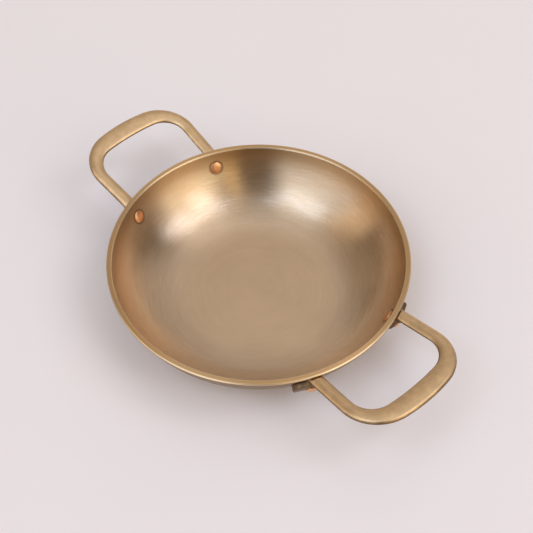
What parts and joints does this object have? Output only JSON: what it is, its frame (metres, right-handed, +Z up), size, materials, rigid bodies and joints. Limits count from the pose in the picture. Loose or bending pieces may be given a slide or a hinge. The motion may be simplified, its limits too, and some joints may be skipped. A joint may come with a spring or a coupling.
{
  "type": "kadai",
  "caption": "Shallow round bronze cooking pan with a lipped rim, a flat base and two riveted loop handles on opposite sides.",
  "frame": {"origin": "centre of the flat base, on the surface that the pan stands on", "axes": "+Z up through the mouth of the bowl, +X along the line through both handles towards the right handle"},
  "size_m": [0.3646, 0.24, 0.0604],
  "materials": {
    "bronze_bowl": "fine concentric brushed satin",
    "bronze_handle": "satin, lightly brushed along the bar",
    "copper_rivet": "plain copper, satin"
  },
  "bodies": {
    "root": {"bowl": "bronze_bowl", "handle_right": "bronze_handle", "handle_left": "bronze_handle", "rivet_right_front": "copper_rivet", "rivet_right_back": "copper_rivet", "rivet_left_front": "copper_rivet", "rivet_left_back": "copper_rivet"}
  },
  "joints": []
}
